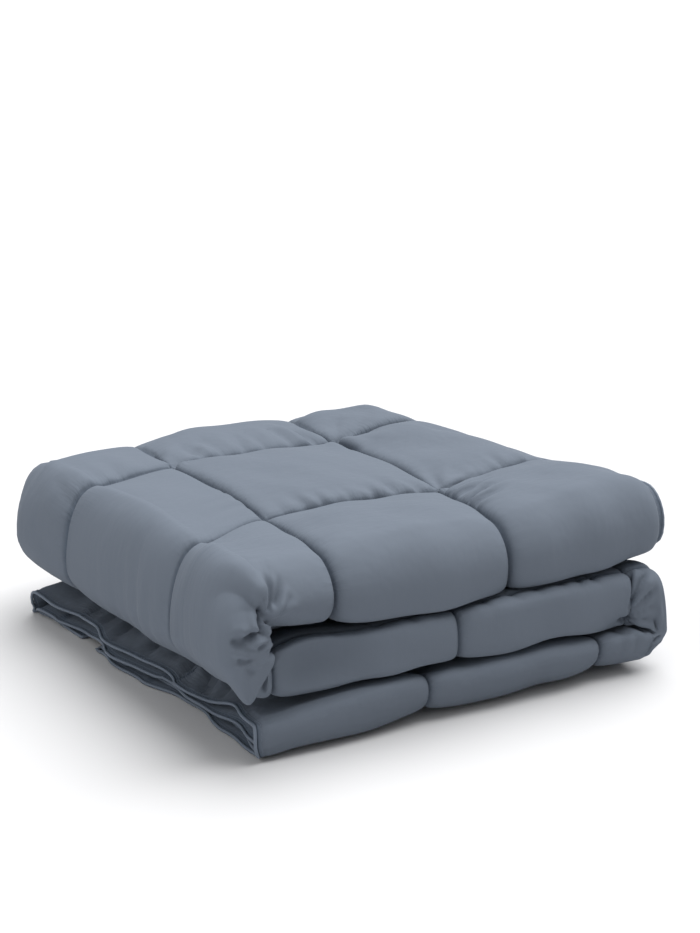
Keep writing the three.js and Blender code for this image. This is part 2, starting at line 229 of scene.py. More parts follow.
def along_pieces():
    """The lip, then each run and each half turn of the first fold, with its length."""
    pieces = [("lip", None, None, (math.pi / 2 - LIP_ANGLE) * LIP_SHARE * NOMINAL_THICK)]
    for index, run in enumerate(RUNS):
        start = place_y(run[0], NOMINAL_THICK, 0, NOMINAL_BACK_Y)
        end = place_y(run[1], NOMINAL_THICK, 0, NOMINAL_BACK_Y)
        pieces.append(("run", run, None, abs(end - start)))
        if index + 1 < len(RUNS):
            after = RUNS[index + 1]
            which = 0 if run[1] in ("front", "tuck") else 1
            half = abs(run[2][which] - after[2][which]) / 2
            pieces.append(("turn", run, after, math.pi * half * NOMINAL_THICK))
    return pieces


ALONG = along_pieces()
ALONG_ENDS = np.cumsum([piece[3] for piece in ALONG])
ALONG_STARTS = ALONG_ENDS - [piece[3] for piece in ALONG]
SEAMS_ACROSS = np.array([across_distance(section, x) for section, x in LINES_ACROSS])
SEAMS_ALONG = np.array([line * BOX for line in LINES_ALONG] + [ALONG_ENDS[-1]])
FORM_DISTANCES = np.array([across_distance(row[0], row[1]) for row in FORM])
WIDTH = ACROSS_ENDS[-1]
LENGTH = ALONG_ENDS[-1]
FILLED_ACROSS = np.concatenate([[HEM_FLANGE], SEAMS_ACROSS[1:-1], [WIDTH - HEM_FLANGE]])
FILLED_ALONG = np.concatenate([[HEM_FLANGE], SEAMS_ALONG[1:-1], [LENGTH - HEM_FLANGE]])
print(f"flat size through the middle of the stack {WIDTH:.3f} by {LENGTH:.3f} m")


# %% Fill and seams
def locate(starts, ends, distance):
    """Which piece a distance lies in, and how far along that piece, from 0 to 1."""
    distance = np.clip(distance, 0, ends[-1])
    index = np.minimum(np.searchsorted(ends, distance, side="left"), len(ends) - 1)
    return index, (distance - starts[index]) / (ends - starts)[index]


def box_place(seams, distance):
    """Which box a distance lies in, and how far through that box, from 0 to 1."""
    index = np.clip(np.searchsorted(seams, distance, side="right") - 1, 0, len(seams) - 2)
    return index, (distance - seams[index]) / (seams[index + 1] - seams[index])


def rounded(t):
    return np.clip(4 * t * (1 - t), 0, 1) ** SEAM_ROUNDING


def loft_at(u, v):
    """How full the fill is, from 0 on a sewn line to 1, a little uneven from box to box."""
    i, s = box_place(FILLED_ACROSS, u)
    j, t = box_place(FILLED_ALONG, v)
    fill = 1 - FILL_UNEVENNESS * (0.5 + 0.5 * np.sin(2.3 * i + 3.9 * j))
    return rounded(s) * rounded(t) * fill


def seam_distance(places, seams):
    """Distance in metres to the nearest sewn line, on the flat duvet."""
    return np.abs(places[:, None] - seams[None, :]).min(1)


def drawn_in(distance, seams):
    """Places pulled towards their sewn line, so that the cover stands steeply beside it."""
    near = seams[np.abs(distance[:, None] - seams[None, :]).argmin(1)]
    gap = distance - near
    return near + gap * (1 - SEAM_PULL * np.exp(-((gap / SEAM_REACH) ** 2)))


def seam_sink(u, v, thick):
    """How far a sewn line is drawn into the fill, more where it goes round the front."""
    across = np.exp(-seam_distance(u, SEAMS_ACROSS[1:-1]) / SINK_REACH)
    along = np.exp(-seam_distance(v, SEAMS_ALONG[1:-1]) / SINK_REACH)
    start, whole, last, end = (boxes * BOX for boxes in FRONT_WRAP)
    wrap = smoothstep(v, start, whole) * (1 - smoothstep(v, last, end))
    return np.maximum(across, along) * SEAM_SINK * thick + across * wrap * WRAP_SINK


probe = np.linspace(0, WIDTH, 200)
print("fill from", loft_at(probe, probe).min().round(2), "to", loft_at(probe, probe).max().round(2))


# %% Form at a place across
def squared(y, share, thick, form):
    """The front turn is pressed between its neighbours, and so is squarer than half a circle."""
    centre = form["front"] + thick / 2
    level = np.clip(np.abs(2 * share - 1), 0, 0.97)
    power = np.where(share > 0.5, form["square"], form["square_under"])
    wider = (1 - level ** power) ** (1 / power) / np.sqrt(1 - level * level)
    return np.where(y < centre, centre - (centre - y) * wider, y)


def form_at(u):
    """The row of the form's table at a distance across, blended between rows."""
    index = np.clip(np.searchsorted(FORM_DISTANCES, u, side="right") - 1, 0, len(FORM) - 2)
    t = smoothstep(u, FORM_DISTANCES[index], FORM_DISTANCES[index + 1])
    form = {}
    for name in FORM_COLUMNS[2:]:
        values = column(FORM, FORM_COLUMNS, name).astype(float)
        form[name] = lerp(values[index], values[index + 1], t)
    form["back"] = form["back"] * BOX
    form["slip"] = form["slip"] * BOX
    return form


print("most crown over the top ply", form_at(probe)["crown"].max().round(3))


# %% Faces of the folded stack
def hollow_near(x, fold_x):
    """Half the gap between two sections, wider close to the fold that joins them."""
    return lerp(FOLD_HOLLOW, SECTION_GAP / 2, smoothstep(np.abs(x - fold_x), 0, HOLLOW_LENGTH))


def straight_faces(section, x, loft):
    """x and height of a section's under and over face, and how far its hems are pressed."""
    if section == "bottom":
        top = (LOWER_PIVOT - hollow_near(x, RIGHT_X)) * loft
        return x, 0 * x, x, top, 1 - smoothstep(x, 0, EDGE_PRESS_LENGTH)
    if section == "middle":
        low = UPPER_PIVOT - hollow_near(x, LEFT_X)
        return x, low, x, LOWER_PIVOT + hollow_near(x, RIGHT_X), 0 * x
    low = UPPER_PIVOT + hollow_near(x, LEFT_X)
    return x, low, x, UPPER_PIVOT + SECTION_GAP / 2 + TOP_THICK * loft, 0 * x


def fold_faces(fold, t):
    """The same round the fold between two sections, at t from 0 to 1."""
    angle = t * math.pi
    right = fold == "right fold"
    side = 1 if right else -1
    x = RIGHT_X if right else LEFT_X
    z = LOWER_PIVOT if right else UPPER_PIVOT
    below, above = (BOTTOM_THICK, MIDDLE_THICK) if right else (MIDDLE_THICK, TOP_THICK)
    reach = RIGHT_FOLD_REACH if right else LEFT_FOLD_REACH
    lower = angle < math.pi / 2
    height = np.where(lower, below, above) + SECTION_GAP / 2
    sine = np.maximum(np.sin(angle), 0)
    bulge = np.where(lower, sine ** FOLD_FULLNESS[0], sine ** FOLD_FULLNESS[1])
    outer = (x + side * reach * bulge, z - height * np.cos(angle))
    inner = (x + side * FOLD_HOLLOW * np.sin(angle), z - FOLD_HOLLOW * np.cos(angle))
    under, over = (outer, inner) if right else (inner, outer)
    return under[0], under[1], over[0], over[1], 0 * t


def across_frame(u):
    """Where the stack's two faces lie at a distance across, and the form of the stack there."""
    index, t = locate(ACROSS_STARTS, ACROSS_ENDS, u)
    form = form_at(u)
    faces = np.zeros((5,) + u.shape)
    for number, (name, _) in enumerate(ACROSS):
        here = index == number
        if not here.any():
            continue
        if "fold" in name:
            faces[:, here] = fold_faces(name, t[here])
        else:
            ends = {"bottom": (0, RIGHT_X), "middle": (RIGHT_X, LEFT_X), "top": (LEFT_X, TOP_END_X)}
            x = lerp(*ends[name], t[here])
            faces[:, here] = straight_faces(name, x, form["loft"][here])
    form.update(under=faces[0:2], over=faces[2:4], press=faces[4])
    return form


print("highest face", across_frame(probe)["over"][1].max().round(3), "m")


# %% Middle line of the folded sheet
def middle_line(v, thick, form):
    """The sewn middle of the sheet in the stack: distance back, height, and room on both sides."""
    index, t = locate(ALONG_STARTS, ALONG_ENDS, v)
    out = np.zeros((4,) + v.shape)
    for number, (kind, run, after, _) in enumerate(ALONG):
        here = index == number
        if not here.any():
            continue
        T, front, back = thick[here], form["front"][here], form["back"][here]
        crown, s = form["crown"][here], t[here]
        if kind == "lip":
            angle = lerp(LIP_ANGLE, math.pi / 2, s)
            y = back + LIP_SHARE * T * np.cos(angle)
            h = LOOP_LEVEL * T + LIP_SHARE * T * np.sin(angle)
            out[:, here] = (y, h, RUNS[0][3][1] + 0 * s, RUNS[0][4][1] + 0 * s)
            continue
        end = place_y(run[1], T, front, back)
        face0 = crown if run is RUNS[0] else run[3][0] + 0 * s
        if kind == "run":
            y = lerp(place_y(run[0], T, front, back), end, s)
            change = smoothstep(y, *BACK_CHANGE)
            h = lerp(run[2][0], run[2][1], change) * T
            face = lerp(face0, np.maximum(face0, run[3][1]), change)
            out[:, here] = (y, h, face, lerp(run[4][0], run[4][1], change))
            continue
        which = 1 if run[1] == "back" else 0
        centre = (run[2][which] + after[2][which]) / 2
        swing = (run[2][which] - after[2][which]) / 2
        bulge = -1 if run[1] == "front" else 1
        y = end + bulge * abs(swing) * T * np.sin(s * math.pi)
        h = (centre + swing * np.cos(s * math.pi)) * T
        face = lerp(face0 if which == 0 else run[3][1], after[3][which], s)
        out[:, here] = (y, h, face, lerp(run[4][which], after[4][which], s))
    return out


def sag_at(x, y):
    """The share of the height lost where the stack sinks towards its back."""
    places = column(BACK_SAG, BACK_SAG_COLUMNS, "x")
    index = np.clip(np.searchsorted(places * BOX, x, side="right") - 1, 0, len(places) - 2)
    t = smoothstep(x / BOX, places[index], places[index + 1])
    lost, start = (column(BACK_SAG, BACK_SAG_COLUMNS, name) for name in ("lost", "start"))
    begin = lerp(start[index], start[index + 1], t)
    return lerp(lost[index], lost[index + 1], t) * smoothstep(y / BOX, begin, BACK_SAG_END)


print("lip, runs and turns along", len(ALONG))

# %% The fold itself
# The sheet's direction is measured over this distance to both sides
HALF_STEP = 0.0005


def fold(u, v, side, thickness):
    """Folded places at u across and v along. side is 1 on the outer cover, -1 on the other."""
    form = across_frame(drawn_in(u, SEAMS_ACROSS[1:-1]))
    along = drawn_in(v, SEAMS_ALONG[1:-1])
    rise = form["over"] - form["under"]
    thick = np.hypot(*rise)
    y, h, face, back = middle_line(along, thick, form)
    ahead = middle_line(along + HALF_STEP, thick, form)
    behind = middle_line(along - HALF_STEP, thick, form)
    dy, dh = ahead[0] - behind[0], ahead[1] - behind[1]
    speed = np.hypot(dy, dh)
    full = np.where(side > 0, face, back) * thick
    offset = side * lerp(thickness / 2, full, loft_at(u, v)) - seam_sink(u, v, thick)
    share = np.maximum(h - dy / speed * offset, 0) / thick
    y = squared(y + dh / speed * offset, share, thick, form)
    depth = y / form["back"]
    start, whole, last, end = SLIP_REACH
    y = y - form["slip"] * (smoothstep(depth, start, whole) - smoothstep(depth, last, end))
    pressed = np.interp(share, PRESSED_SHARE, PRESSED_HEIGHT) / thick
    placed = lerp(share, pressed, form["press"])
    x = form["under"][0] + rise[0] * placed
    z = (form["under"][1] + rise[1] * placed) * (1 - sag_at(x, y))
    places = np.stack([x + form["drift"] * y, y, np.maximum(z, 0)], axis=-1)
    return places - CENTRE


def at_hem(u, v):
    return (u < 1e-5) | (v < 1e-5) | (u > WIDTH - 1e-5) | (v > LENGTH - 1e-5)


def folded_cover(u, v, side):
    """Folded places on a cover, which is a little closer to the other one at the hem."""
    return fold(u, v, side, np.where(at_hem(u, v), HEM_THICKNESS, SEAM_THICKNESS))


corner = folded_cover(np.zeros(1), np.zeros(1), np.ones(1))[0]
print("a corner of the sheet is folded to", corner.round(3))

# %% [markdown]
# ## The quilt
# Two covers of cloth with fill between them, closed round the edge, so one closed skin shows.
# A flat grid is given its thickness, then each point is moved to its folded place. The grid has
# a line of points on every sewn line, because a seam between two lines would be ragged.

# %% Grid of the flat sheet
GRID_ACROSS = 0.0158
GRID_ALONG = 0.0168
# Areas of the outer cover, in boxes, from and to across and from and to along, that are split
# into four one after another: all that is seen, what is seen close, and the gathered corners
FINER = (
    (0, 7.4, 1.95, 2.75), (0, 0.45, 0, 2.75), (4.5, 7.4, 0, 2.75),
    (0, 7.4, 3.6, 4.05), (0, 7.4, 5.1, 5.5),
)
CLOSE = ((0, 4.5, 2.05, 2.62), (4.5, 7.4, 0.45, 2.62), (0.15, 0.4, 0.4, 2.1))
GATHERED = ((4.62, 5.32, 2.14, 2.48), (2.24, 2.76, 2.22, 2.46))


def with_seams(step, seams):
    """Places a step or less apart, with every sewn line on a place of its own."""
    places = [seams[0]]
    for start, end in zip(seams, seams[1:]):
        count = math.ceil((end - start) / step)
        places += [start + (end - start) * k / count for k in range(1, count + 1)]
    return np.array(places)


across_places = with_seams(GRID_ACROSS, SEAMS_ACROSS)
along_places = with_seams(GRID_ALONG, SEAMS_ALONG)
print("stations across", len(across_places), "along", len(along_places))


# %% Making and splitting a flat sheet
FLAT_THICKNESS = 0.01
OUTER_LEVEL = -FLAT_THICKNESS


def values_of(items, name, width=3):
    """One row of numbers for each item of a mesh."""
    values = np.zeros(len(items) * width, np.float32)
    items.foreach_get(name, values)
    return values.reshape(-1, width)


def new_piece(name, add, **values):
    """What one of Blender's own operators adds, selected alone and named."""
    bpy.ops.object.select_all(action="DESELECT")
    add(**values)
    piece = bpy.context.object
    piece.name = name
    piece.data.name = name
    return piece


def flat_sheet(name, us, vs):
    """A flat grid with one line of points at each place, in metres across and along."""
    faces = {"size": 1, "x_subdivisions": len(us) - 1, "y_subdivisions": len(vs) - 1}
    sheet = new_piece(name, bpy.ops.mesh.primitive_grid_add, **faces)
    flat = values_of(sheet.data.vertices, "co")
    i = np.rint((flat[:, 0] + 0.5) * (len(us) - 1)).astype(int)
    j = np.rint((flat[:, 1] + 0.5) * (len(vs) - 1)).astype(int)
    flat[:, 0] = us[i]
    flat[:, 1] = vs[j]
    sheet.data.vertices.foreach_set("co", flat.ravel())
    return sheet


def refine(sheet, areas):
    """Each outer face in these areas becomes four."""
    a, b, z = values_of(sheet.data.polygons, "center").T
    chosen = np.zeros(len(a), bool)
    for a0, a1, b0, b1 in areas:
        chosen |= (a > a0 * BOX) & (a < a1 * BOX) & (b > b0 * BOX) & (b < b1 * BOX)
    chosen &= np.abs(z - OUTER_LEVEL) < 1e-4
    bpy.ops.object.mode_set(mode="EDIT")
    bpy.ops.mesh.select_mode(type="FACE")
    bpy.ops.mesh.select_all(action="DESELECT")
    bpy.ops.object.mode_set(mode="OBJECT")
    sheet.data.polygons.foreach_set("select", chosen)
    bpy.ops.object.mode_set(mode="EDIT")
    bpy.ops.mesh.subdivide(number_cuts=1)
    bpy.ops.mesh.select_all(action="DESELECT")
    bpy.ops.object.mode_set(mode="OBJECT")


def place_points(piece, points):
    piece.data.vertices.foreach_set("co", points.astype(np.float32).ravel())
    piece.data.update()


# %% The quilt, flat and then folded
quilt = flat_sheet("duvet_quilt", across_places, along_places)
solidify = quilt.modifiers.new("thickness", "SOLIDIFY")
solidify.thickness = FLAT_THICKNESS
solidify.offset = -1
bpy.ops.object.modifier_apply(modifier="thickness")
for areas in (FINER, CLOSE, GATHERED):
    refine(quilt, areas)
bpy.ops.object.shade_smooth()
flat = values_of(quilt.data.vertices, "co").astype(float)
u, v = flat[:, 0].copy(), flat[:, 1].copy()
side = np.where(np.abs(flat[:, 2] - OUTER_LEVEL) < 1e-4, 1.0, -1.0)
corners = values_of(quilt.data.loops, "vertex_index", 1).ravel().astype(int)
quilt.data.uv_layers[0].name = "cloth"
quilt.data.uv_layers["cloth"].uv.foreach_set("vector", flat[corners][:, :2].astype(np.float32).ravel())
folded = folded_cover(u, v, side)
place_points(quilt, folded)
triangles = sum(len(face.vertices) - 2 for face in quilt.data.polygons)
print("quilt points", len(u), "triangles", triangles)
print("quilt box", folded.min(0).round(4), folded.max(0).round(4))
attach(quilt, "root")
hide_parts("quilt")

# %% [markdown]
# ## Relaxing the cover
# The real cover is cut a little larger than the box it closes, so it bulges over the fill and
# gathers beside its seams. That could be drawn by hand, but cloth finds it by itself: the part
# of the outer cover that can be seen is held at the sewn lines, pressed outwards from inside,
# and a little too long beside the seams. It settles on a coarse sheet, and the fine one follows.

# %% Cover held at its sewn lines
SEEN_END = 2.75 * BOX
HELD_BACK = 0.03
LOOSE_REACH = 0.035
LOOSE_LEVELS = 20


def hold_and_loosen(cover, across, along, end):
    """Holds the cover at its sewn lines and its rim, and makes it loose beside the lines."""
    gap = np.minimum(seam_distance(across, SEAMS_ACROSS), seam_distance(along, SEAMS_ALONG))
    rim = (along > end - HELD_BACK) | (across < 1e-4) | (across > WIDTH - 1e-4)
    held = cover.vertex_groups.new(name="held")
    loose = cover.vertex_groups.new(name="loose")
    held.add([int(k) for k in np.flatnonzero((gap < 1e-4) | rim)], 1.0, "REPLACE")
    levels = np.rint(np.exp(-gap / LOOSE_REACH) * LOOSE_LEVELS).astype(int)
    for level in range(1, LOOSE_LEVELS + 1):
        rows = np.flatnonzero(levels == level)
        loose.add([int(k) for k in rows], level / LOOSE_LEVELS, "REPLACE")


print("cover is relaxed up to", round(SEEN_END, 3), "m along")

# %% Cloth simulation of the cover
CLOTH_FRAMES = 20
MOVE_LIMIT = 0.012
CLOTH_SETTINGS = {
    "quality": 6,
    "mass": 0.15,
    "tension_stiffness": 12,
    "compression_stiffness": 12,
    "shear_stiffness": 4,
    "bending_stiffness": 0.05,
    "air_damping": 1,
    "tension_damping": 5,
    "compression_damping": 5,
    "use_pressure": True,
    "uniform_pressure_force": 1.0,
    "vertex_group_mass": "held",
    "vertex_group_shrink": "loose",
    "shrink_min": 0.005,
    "shrink_max": -0.07,
}


def relax_cover():
    """The moves of each grid point of the seen cover, once it has settled as cloth."""
    us, vs = across_places, along_places[along_places < SEEN_END]
    cover = flat_sheet("cover_try", us, vs)
    uu, vv = values_of(cover.data.vertices, "co")[:, :2].astype(float).T
    start = fold(uu, vv, np.ones(len(uu)), SEAM_THICKNESS)
    place_points(cover, start)
    bpy.ops.object.mode_set(mode="EDIT")
    bpy.ops.mesh.select_all(action="SELECT")
    bpy.ops.mesh.flip_normals()
    bpy.ops.object.mode_set(mode="OBJECT")
    hold_and_loosen(cover, uu, vv, vs[-1])
    cloth = cover.modifiers.new("cloth", "CLOTH")
    for name, value in CLOTH_SETTINGS.items():
        setattr(cloth.settings, name, value)
    cloth.settings.effector_weights.gravity = 0
    cloth.collision_settings.use_collision = False
    cloth.collision_settings.use_self_collision = False
    cloth.point_cache.frame_start = 1
    cloth.point_cache.frame_end = CLOTH_FRAMES
    scene = bpy.context.scene
    for number in range(1, CLOTH_FRAMES + 1):
        scene.frame_set(number)
    settled = cover.evaluated_get(bpy.context.evaluated_depsgraph_get())
    moved = values_of(settled.data.vertices, "co") - start
    scene.frame_set(1)
    bpy.data.objects.remove(cover)
    distance = np.linalg.norm(moved, axis=1)
    print("cover points", len(uu), "moved: median, 95 %, most",
          np.quantile(distance, (0.5, 0.95, 1)).round(4))
    moved *= (np.minimum(distance, MOVE_LIMIT) / np.maximum(distance, 1e-9))[:, None]
    grid = np.zeros((len(us), len(vs), 3))
    i = np.searchsorted(us, uu - 1e-6)
    j = np.searchsorted(vs, vv - 1e-6)
    grid[i, j] = moved
    return grid


# %% The relaxed cover on the fine quilt
SPLITS = 3
FINE_STEPS = 2 ** SPLITS


def between(coarse, axis):
    """Twice as many points, those in between on a smooth curve through their neighbours."""
    coarse = np.moveaxis(coarse, axis, 0)
    padded = np.concatenate([coarse[:1], coarse, coarse[-1:]])
    middle = (9 * (padded[1:-2] + padded[2:-1]) - padded[:-3] - padded[3:]) / 16
    fine = np.empty((2 * len(coarse) - 1,) + coarse.shape[1:])
    fine[::2] = coarse
    fine[1::2] = middle
    return np.moveaxis(fine, 0, axis)


moves = relax_cover()
for axis in (0, 1) * SPLITS:
    moves = between(moves, axis)
steps_u = FINE_STEPS * np.arange(len(across_places))
steps_v = FINE_STEPS * np.arange(len(along_places))
row_u = np.rint(np.interp(u, across_places, steps_u)).astype(int)
row_v = np.rint(np.interp(v, along_places, steps_v)).astype(int)
outer = (side > 0) & (row_v < moves.shape[1])
folded[outer] += moves[row_u[outer], row_v[outer]]
folded[:, 2] = np.maximum(folded[:, 2], 0)
place_points(quilt, folded)
print("relaxed points on the quilt", int(outer.sum()))

# %% [markdown]
# ## Handling marks
# A duvet folded by hand is pulled, tucked and pressed here and there. Sculpting could do this,
# but a sculpted mark can't be read or changed later, so each mark is a row in a table.
# Pushes move a soft patch of the cloth, both covers together. Settles move whatever lies at a
# place in the room, all plies together.
# Creases are short valleys with a ridge on each side. A row of them leaves a line on the cover
# sideways, a fan leaves one point in several directions, and a line is one crease on its own.
# On the flat duvet, places and lengths are in boxes, across and along, and moves and depths in
# metres. Directions are in degrees, 0 across and 90 along.

# %% Pushes of the cloth
PUSH_COLUMNS = ("across", "along", "wide", "long", "move_x", "move_y", "move_z")
PUSHES = (
    # the front tip of the big rolled fold is pulled down to a point
    (4.82, 2.22, 0.05, 0.08, 0, 0, 0.004),
    (4.745, 2.225, 0.032, 0.06, 0, -0.005, -0.015),
    (4.69, 2.30, 0.07, 0.14, 0.004, 0, 0.006),
    (4.675, 2.285, 0.024, 0.032, 0, 0.012, 0),
    # the edge beside the hollow is drawn across it
    (4.95, 2.40, 0.13, 0.10, 0.015, -0.006, 0),
    (4.74, 2.40, 0.12, 0.10, 0.009, -0.008, 0),
    (4.735, 2.33, 0.035, 0.05, 0.006, 0, 0),
    # dimples where sewn lines cross on top
    (6.48, 0.62, 0.05, 0.05, 0, 0, -0.007),
    # the small fold's front is drawn in where its creases meet
    (2.70, 2.26, 0.16, 0.06, 0, 0.012, 0),
)
print("pushes", len(PUSHES), "with", ", ".join(PUSH_COLUMNS))


def push_moves(u, v):
    moves = np.zeros(u.shape + (3,))
    for across, along, wide, long, *move in PUSHES:
        weight = np.exp(-(((u / BOX - across) / wide) ** 2) - ((v / BOX - along) / long) ** 2)
        moves += weight[:, None] * np.array(move)
    return moves


# %% Settles of a place in the room
# Centre, reach and move, all in metres, and how far the heights there are pinched together
SETTLE_COLUMNS = (
    "x", "y", "z", "reach_x", "reach_y", "reach_z", "move_x", "move_y", "move_z", "pinch",
)
SETTLES = (
    # front left: the top section's corner and the rolled fold's lower edge ride up
    (-0.245, -0.34, 0.155, 0.065, 0.080, 0.042, 0, 0, 0.024, 0),
    (-0.330, -0.30, 0.085, 0.060, 0.160, 0.050, 0.004, 0, 0.012, 0),
    # the middle section's front is drawn in beside the rolled fold's end
    (-0.205, -0.335, 0.108, 0.055, 0.060, 0.034, 0, 0.034, 0, 0),
    # back and right outlines of the top
    (-0.180, 0.30, 0.240, 0.250, 0.120, 0.060, 0, 0, -0.007, 0),
    (0.215, 0.105, 0.245, 0.075, 0.075, 0.060, 0, 0, 0.012, 0),
    (0.180, 0.24, 0.238, 0.060, 0.050, 0.050, 0, 0, -0.004, 0),
    (0.310, -0.30, 0.250, 0.045, 0.060, 0.050, 0.003, 0, 0.007, 0),
    (-0.335, 0.27, 0.215, 0.030, 0.060, 0.050, 0.002, 0, -0.007, 0),
    (-0.285, -0.335, 0.168, 0.035, 0.060, 0.030, 0, 0, 0.009, 0),
    (0.330, -0.22, 0.190, 0.070, 0.080, 0.060, 0.007, 0, 0.006, 0),
    # the middle section rises to the top section's lower edge
    (0.080, -0.330, 0.127, 0.330, 0.045, 0.020, 0, 0, 0.014, 0),
    (0.280, -0.350, 0.150, 0.100, 0.060, 0.030, 0, 0, 0.005, 0),
    (0.220, -0.335, 0.137, 0.130, 0.035, 0.018, 0, 0, 0.006, 0),
    (0.080, -0.335, 0.146, 0.280, 0.055, 0.030, 0, 0, 0, 0.72),
    # and the bottom section to the middle section's
    (0.020, -0.350, 0.070, 0.300, 0.045, 0.026, 0, 0, 0, 0.60),
    (-0.100, -0.350, 0.064, 0.120, 0.050, 0.032, 0, 0, 0.007, 0),
    (0.150, -0.350, 0.066, 0.070, 0.050, 0.032, 0, 0, 0.004, 0),
    # the lower edge of the front is rounded up from the floor
    (0.120, -0.365, 0.004, 0.350, 0.040, 0.026, 0, 0.010, 0.006, 0),
    # right fold: its front end is pressed together and its lower edge drawn in
    (0.290, -0.37, 0.064, 0.065, 0.060, 0.026, 0, 0, 0, 0.94),
    (0.345, -0.33, 0.064, 0.045, 0.110, 0.046, -0.010, 0, -0.006, 0),
    (0.318, -0.36, 0.066, 0.028, 0.060, 0.020, 0, 0, -0.008, 0),
    (0.345, -0.33, 0.110, 0.045, 0.110, 0.040, -0.004, 0, 0, 0),
    (0.350, -0.34, 0.012, 0.090, 0.100, 0.036, -0.016, 0.004, 0.006, 0),
)
print("settles", len(SETTLES), "with", ", ".join(SETTLE_COLUMNS))


def settle(places):
    """Moves the places in the room one after the other."""
    places = places.copy()
    for row in SETTLES:
        centre, reach, move = np.array(row[:9]).reshape(3, 3)
        pinch = row[9]
        weight = np.exp(-(((places - centre) / reach) ** 2).sum(1))
        height = places[:, 2] - centre[2]
        places += weight[:, None] * move
        places[:, 2] -= weight * pinch * height
    return places


# %% Wandering hems
# The open hem on the left, in metres along the floor from the front: how far it is lifted there,
# and how far it lies further in, with its plies closer together
HEM_LIFT = (
    (-0.02, 0.002), (0.03, 0.007), (0.08, 0.013), (0.17, -0.006), (0.26, 0.004),
    (0.34, -0.003), (0.43, 0.012), (0.51, 0.004), (0.60, 0.008),
)
HEM_IN = (
    (-0.02, 0), (0.05, 0.012), (0.12, 0.024), (0.18, 0.026), (0.28, 0.018),
    (0.38, 0.007), (0.43, 0.016), (0.52, 0.024), (0.60, 0.010),
)
# The lift is smoothed over these places beside each one
HEM_LIFT_PLACES = (0, -0.03, -0.015, 0.015, 0.03)
# Waves of each ply's hem: length, height and where they start
HEM_WAVES = ((0.171, 0.0045, 1.0), (0.074, 0.0020, 0.3))
HEM_REACH = 0.055
# Plies of the stack whose hem on the left is further in: from and to in boxes, and by how much
HEM_SET_BACK = ((3.86, 5.32, 0.011), (7.30, 7.80, 0.004))
# Heights over which a hem that lies on the floor comes free to move up, and to move down
FREE_TO_RISE = (0.012, 0.036)
FREE_TO_SINK = (0.002, 0.040)


def waves(v):
    return sum(height * np.sin(2 * math.pi * v / length + phase) for length, height, phase in HEM_WAVES)


def hem_moves(places, u, v):
    """The open hems on the left and right wander a little, each ply in its own way."""
    moves = np.zeros(places.shape)
    left = np.exp(-((u / HEM_REACH) ** 2))
    right = np.exp(-(((WIDTH - u) / HEM_REACH) ** 2))
    y, z = places[:, 1] + CENTRE[1], places[:, 2]
    lift = sum(np.interp(y + near, *zip(*HEM_LIFT)) for near in HEM_LIFT_PLACES) / len(HEM_LIFT_PLACES)
    back = sum((v > low * BOX) * (v < high * BOX) * by for low, high, by in HEM_SET_BACK)
    inwards = np.interp(y, *zip(*HEM_IN))
    sinking = 0.6 * inwards * smoothstep(z, *FREE_TO_SINK)
    moves[:, 0] = waves(v) * (left + 0.5 * right) + (back + inwards) * left
    moves[:, 2] = left * (lift * smoothstep(z, *FREE_TO_RISE) - sinking)
    return moves


def place_pushed(places, u, v):
    pushed = settle(places + push_moves(u, v) + hem_moves(places, u, v))
    pushed[:, 2] = np.maximum(pushed[:, 2], 0)
    return pushed


def cover_place(u, v, side=1.0):
    """Places on the pushed cover, without the creases."""
    return place_pushed(folded_cover(u, v, np.full(u.shape, side)), u, v)


folded = place_pushed(folded, u, v)
place_points(quilt, folded)
print("pushed quilt box", folded.min(0).round(4), folded.max(0).round(4))

